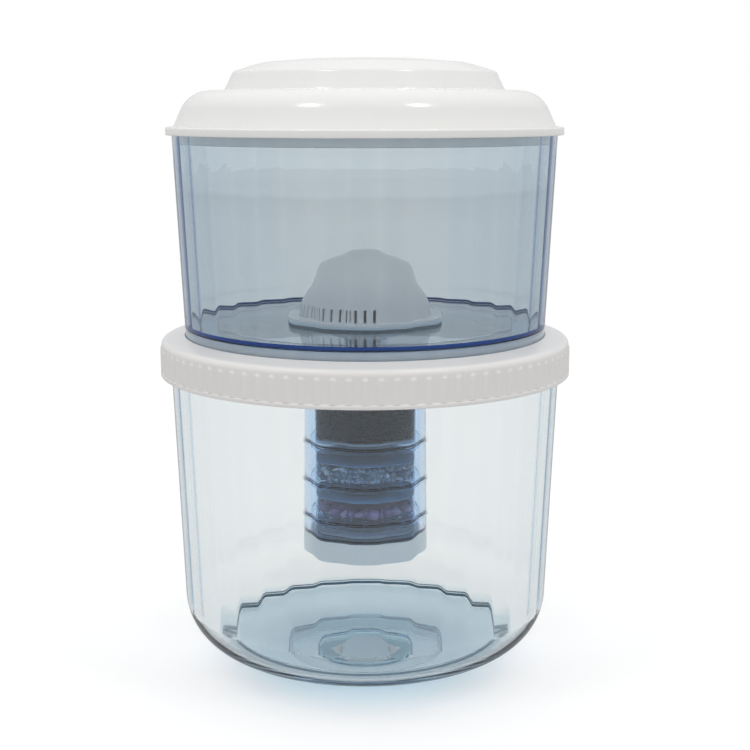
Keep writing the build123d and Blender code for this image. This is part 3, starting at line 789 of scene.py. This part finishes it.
def grains(name, node, radius, size, top, seed, detail, rough, flat):
    """Fills the node's space up to top with grains. size is a grain's width, rough how broken its
    surface is, and flat how much flatter than round it may be."""
    random = np.random.default_rng(seed)
    low = bottom_of(node)
    places = grain_places(random, radius, low, top, size)
    count = len(places)
    places += random.normal(scale=0.06 * size, size=places.shape)
    work = bmesh.new()
    bmesh.ops.create_icosphere(work, subdivisions=detail, radius=0.5)
    base = np.array([v.co for v in work.verts])
    faces = np.array([[v.index for v in f.verts] for f in work.faces])
    work.free()
    broken = 1 + rough * (random.random((count, len(base), 1)) - 0.5) * 2
    stretch = 1 - flat * random.random((count, 1, 3))
    scale = size * random.uniform(0.8, 1.18, (count, 1, 1))
    local = base[None] * broken * stretch * scale
    points = np.einsum("nij,nvj->nvi", turns_at_random(random, count), local) + places[:, None]
    out = np.hypot(points[..., 0], points[..., 1])
    points[..., :2] *= np.minimum(1, radius / out)[..., None]
    points[..., 2] = np.clip(points[..., 2], low, top + 0.25 * size)
    mesh = bpy.data.meshes.new(name)
    numbered = faces[None] + np.arange(count)[:, None, None] * len(base)
    mesh.from_pydata(points.reshape(-1, 3).tolist(), [], numbered.reshape(-1, 3).tolist())
    mark = mesh.attributes.new("grain", "FLOAT", "POINT")
    mark.data.foreach_set("value", np.repeat(random.random(count), len(base)))
    piece = shown(name, mesh, 60 if detail > 1 else 5)
    print(f"{name}: {count} grains, {len(mesh.polygons)} faces")
    return piece


def plain_disc(name, radius, low, high):
    """The inside of a heap, which only shows as darkness between the grains, or the cloth on it."""
    corners = [(0, low, 0), (radius, low, 0), (radius, high, 0), (0, high, 0)]
    return turned(name, rounded(np.array(corners) / mm), 48)


# %% [markdown]
# Each kind of grain shares one recipe for its colour: a random number per grain picks from three
# colours, and a fine noise breaks it up within the grain. The crystals and the stones lie under a
# sheet of sieve cloth.

# %% Group and finish of the grains
speckled, enter, leave = new_group(
    "speckled grains",
    [("Dark", linear(40, 40, 40)), ("Middle", linear(120, 120, 120)), ("Light", linear(220, 220, 220)),
     ("Speckle", 0.3)],
    [("Colour", "NodeSocketColor"), ("Height", "NodeSocketFloat")],
)
number = add(speckled, "ShaderNodeAttribute", attribute_name="grain").outputs["Fac"]
fine = noise(speckled, object_place(speckled), 700.0, 4.0)
uneven = calculate(speckled, "MULTIPLY", calculate(speckled, "SUBTRACT", fine, 0.5), enter["Speckle"])
pick = calculate(speckled, "ADD", number, uneven, clamp=True)
darker = blend_colours(speckled, map_range(speckled, pick, 0.0, 0.5), enter["Dark"], enter["Middle"])
colour = blend_colours(speckled, map_range(speckled, pick, 0.5, 1.0), darker, enter["Light"])
speckled.links.new(colour, leave["Colour"])
speckled.links.new(fine, leave["Height"])


def grain_finish(name, dark, middle, light, roughness, speckle=0.3, coat=0.0, bump_height=0.1,
                 specular=0.5):
    material, tree = new_material(name)
    made = place_group(tree, speckled, {"Dark": dark, "Middle": middle, "Light": light, "Speckle": speckle})
    bump = add(tree, "ShaderNodeBump",
               {"Height": made["Height"], "Strength": bump_height, "Distance": 0.0005})
    shader = add(tree, "ShaderNodeBsdfPrincipled", {
        "Base Color": made["Colour"], "Roughness": roughness, "Normal": bump.outputs[0],
        "Coat Weight": coat, "Specular IOR Level": specular})
    surface(tree, shader.outputs[0])
    return material


charcoal = grain_finish(
    "charcoal", linear(4, 7, 12), linear(13, 18, 26), linear(38, 47, 60), 0.5, bump_height=0.6,
    specular=0.1)
chips = grain_finish(
    "crystal chips", linear(92, 112, 132), linear(178, 198, 214), linear(252, 254, 255), 0.15, coat=0.6,
    speckle=0.5)
tumbled = grain_finish(
    "tumbled stone", linear(108, 92, 132), linear(176, 142, 178), linear(232, 198, 222), 0.35, coat=0.2,
    bump_height=0.2)
sieve_cloth = moulded_plastic(
    "sieve cloth", linear(156, 184, 204), linear(138, 168, 190), 0.8, peel_height=0.5, specular=0.2)

# %% The three fillings
bed_radius = radius_of("carbon_bed")
cloth = 0.6 * mm
for label, node, size, seed, detail, rough, flat, finish, slot, covered in (
    ("carbon_grains", "carbon_bed", 2.6 * mm, 3, 1, 0.3, 0.35, charcoal, "carbon", False),
    ("crystal_chips", "silica_bed", 3.6 * mm, 5, 1, 0.35, 0.4, chips, "crystal", True),
    ("mineral_stones", "mineral_bed", 6.6 * mm, 8, 2, 0.06, 0.3, tumbled, "stone_pink", True),
):
    heap_top = top_of(node) - 0.3 * size - cloth * covered
    piece = grains(label, node, bed_radius, size, heap_top, seed, detail, rough, flat)
    dress(piece, "cartridge", slot, finish, node)
    middle = plain_disc(label + "_core", bed_radius - 1.5 * size, bottom_of(node), top_of(node) - size)
    dress(middle, "cartridge", slot, finishes[slot])
    if covered:
        cover = plain_disc(label + "_cover", bed_radius, top_of(node) - cloth, top_of(node))
        dress(cover, "cartridge", slot, sieve_cloth)

# %% [markdown]
# ## Floor, light and camera
#
# The floor and the world are white to the eye and to anything seen through the clear walls, and a
# mirror sees part of that white. For the light that they throw on the filter they keep a plain level,
# brighter from above than from the sides, as in a room with a pale ceiling. So the white background
# adds no light. The floor adds a share of its own white, so the shadow on it stays pale. Under the
# filter that share is blue, as a table is that gets its light through a tinted tank. Two small square
# lamps high on both sides give the lid its pairs of highlights.

# %% Floor
IN_MIRRORS = 0.3
FLOOR_GLOW = 0.54


def seen_directly(tree):
    """1 for rays from the eye or through clear plastic, IN_MIRRORS for rays off a glossy surface."""
    light = add(tree, "ShaderNodeLightPath").outputs
    mirror = calculate(tree, "MULTIPLY", light["Is Glossy Ray"], IN_MIRRORS)
    either = calculate(tree, "MAXIMUM", light["Is Camera Ray"], light["Is Transmission Ray"])
    return calculate(tree, "MAXIMUM", either, mirror)


ground, tree = new_material("white floor")
level_place = add(tree, "ShaderNodeVectorMath", {0: object_place(tree), 1: (1, 1, 0)}, operation="MULTIPLY")
away = add(tree, "ShaderNodeVectorMath", {0: level_place.outputs[0]}, operation="LENGTH").outputs["Value"]
# Under the filter the floor's own white turns darker and blue: painted shadow and painted blue light from
# the tinted tank.
painted_filter_light = blend_colours(tree, map_range(tree, away, 0.05, 0.102), (0.45, 0.64, 0.75, 1), (1, 1, 1, 1))
glow = add(tree, "ShaderNodeEmission", {
    "Color": painted_filter_light, "Strength": calculate(tree, "MULTIPLY", seen_directly(tree), FLOOR_GLOW)})
mirrored = add(tree, "ShaderNodeLightPath").outputs["Is Glossy Ray"]
lit = add(tree, "ShaderNodeBsdfDiffuse", {
    "Color": blend_colours(tree, mirrored, (0.56, 0.56, 0.56, 1), (0.42, 0.42, 0.42, 1))})
surface(tree, add(tree, "ShaderNodeAddShader", {0: glow.outputs[0], 1: lit.outputs[0]}).outputs[0])
span = 8.0
corners = np.array([[[-span, -span, 0], [span, -span, 0]], [[-span, span, 0], [span, span, 0]]])
floor = shown("floor", grid_mesh("floor", corners, ring=False, loop=False))
floor.data.materials.append(ground)

# %% World
HORIZON_LEVEL, ZENITH_LEVEL = 0.58, 1.0
world = bpy.data.worlds.new("studio")
bpy.context.scene.world = world
world.use_nodes = True
tree = world.node_tree
tree.nodes.clear()
direction = add(tree, "ShaderNodeTexCoord").outputs["Generated"]
upward = add(tree, "ShaderNodeSeparateXYZ", {0: direction}).outputs[2]
level = map_range(tree, upward, 0.0, 1.0, HORIZON_LEVEL, ZENITH_LEVEL)
even = add(tree, "ShaderNodeBackground", {"Color": (1, 1, 1, 1), "Strength": level})
white = add(tree, "ShaderNodeBackground", {"Color": (1, 1, 1, 1), "Strength": 1.0})
mixed = add(tree, "ShaderNodeMixShader",
            {0: seen_directly(tree), 1: even.outputs[0], 2: white.outputs[0]})
add(tree, "ShaderNodeOutputWorld", {"Surface": mixed.outputs[0]})

# %% Lamps
LAMP_TURN, LAMP_RISE, LAMP_DISTANCE, LAMP_AIM = 48, 58, 1.8, 0.3
for side, label in ((-1, "left_lamp"), (1, "right_lamp")):
    lamp = bpy.data.lights.new(label, "AREA")
    lamp.shape = "SQUARE"
    lamp.size = 0.26
    lamp.energy = 2.8
    spot = bpy.data.objects.new(label, lamp)
    bpy.context.scene.collection.objects.link(spot)
    turn, rise = radians(LAMP_TURN) * side, radians(LAMP_RISE)
    spot.location = (LAMP_DISTANCE * cos(rise) * sin(turn), -LAMP_DISTANCE * cos(rise) * cos(turn),
                     LAMP_AIM + LAMP_DISTANCE * sin(rise))
    spot.rotation_euler = (pi / 2 - rise, 0, turn)

# %% Camera
PICTURE = 750
FOCAL_PIXELS = 1430
AXIS_PIXEL = 365
LOOK_DOWN = 10.58
camera_data = bpy.data.cameras.new("camera")
camera_data.sensor_width = 36
camera_data.lens = FOCAL_PIXELS / PICTURE * camera_data.sensor_width
camera = bpy.data.objects.new("camera", camera_data)
bpy.context.scene.collection.objects.link(camera)
camera.location = (0, -0.940, 0.3739)
turn_right = atan((PICTURE / 2 - AXIS_PIXEL) / FOCAL_PIXELS)
camera.rotation_euler = (radians(90 - LOOK_DOWN), 0, -turn_right)
bpy.context.scene.camera = camera
bpy.context.scene.view_settings.view_transform = "Standard"

# %% [markdown]
# ## Long light paths
#
# A ray that is caught in a clear wall turns many corners before it leaves. With the usual few bounces
# it is lost and its place is black. With more, it comes out deep blue, and so the lines that edge the
# panels and the tanks' sides get their colour.

# %% Bounces
cycles = bpy.context.scene.cycles
cycles.max_bounces, cycles.glossy_bounces, cycles.transmission_bounces = 32, 16, 32
cycles.transparent_max_bounces = 32
